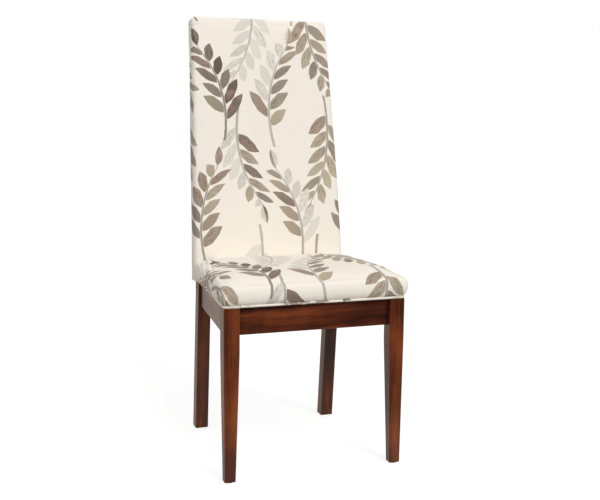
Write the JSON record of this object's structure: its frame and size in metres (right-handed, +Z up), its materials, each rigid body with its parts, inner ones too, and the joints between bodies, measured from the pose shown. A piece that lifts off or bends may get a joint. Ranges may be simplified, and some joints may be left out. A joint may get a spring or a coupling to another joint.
{
  "type": "dining chair",
  "caption": "Padded dining chair with a tall curved back and a crowned seat on a wooden frame with tapered front legs.",
  "frame": {"origin": "on the floor, at the middle of the chair's overall width and depth", "axes": "+Z up, -Y to the front of the chair, where the sitter faces, +X across it"},
  "size_m": [0.476, 0.5228, 1.119],
  "materials": {
    "wood": "dark reddish brown stain, satin lacquer",
    "plain_wood": "unfinished light wood",
    "screw_steel": "zinc plated",
    "glide_plastic": "moulded, matte",
    "foam": "open cell foam and wadding",
    "cover_fabric": "woven cream cloth with leafy sprays",
    "welt_fabric": "woven cream cloth over a cord",
    "dust_cloth": "thin black cloth",
    "webbing": "woven strap"
  },
  "bodies": {
    "root": {"front_left_leg": "wood", "front_right_leg": "wood", "rear_left_post": "wood", "rear_right_post": "wood", "front_rail": "wood", "rear_rail": "wood", "left_side_rail": "wood", "right_side_rail": "wood", "corner_block_front_left": "plain_wood", "corner_block_front_right": "plain_wood", "corner_block_rear_left": "plain_wood", "corner_block_rear_right": "plain_wood", "cross_rail_screw_front_left": "screw_steel", "cross_rail_screw_front_right": "screw_steel", "cross_rail_screw_rear_left": "screw_steel", "cross_rail_screw_rear_right": "screw_steel", "side_rail_screw_front_left": "screw_steel", "side_rail_screw_front_right": "screw_steel", "side_rail_screw_rear_left": "screw_steel", "side_rail_screw_rear_right": "screw_steel", "seat_screw_front_left": "screw_steel", "seat_screw_front_right": "screw_steel", "seat_screw_rear_left": "screw_steel", "seat_screw_rear_right": "screw_steel", "glide_front_left": "glide_plastic", "glide_front_right": "glide_plastic", "glide_rear_left": "glide_plastic", "glide_rear_right": "glide_plastic", "seat_board": "plain_wood", "seat_foam": "foam", "seat_cover": "cover_fabric", "seat_welt": "welt_fabric", "seat_dust_cover": "dust_cloth", "back_top_rail": "plain_wood", "back_middle_rail": "plain_wood", "back_bottom_rail": "plain_wood", "back_webbing_1": "webbing", "back_webbing_2": "webbing", "back_webbing_3": "webbing", "back_webbing_4": "webbing", "back_webbing_5": "webbing", "back_foam": "foam", "back_left_padding": "foam", "back_right_padding": "foam", "back_top_padding": "foam", "back_rear_padding": "foam", "back_cover": "cover_fabric", "back_outer_panel": "cover_fabric"}
  },
  "joints": []
}
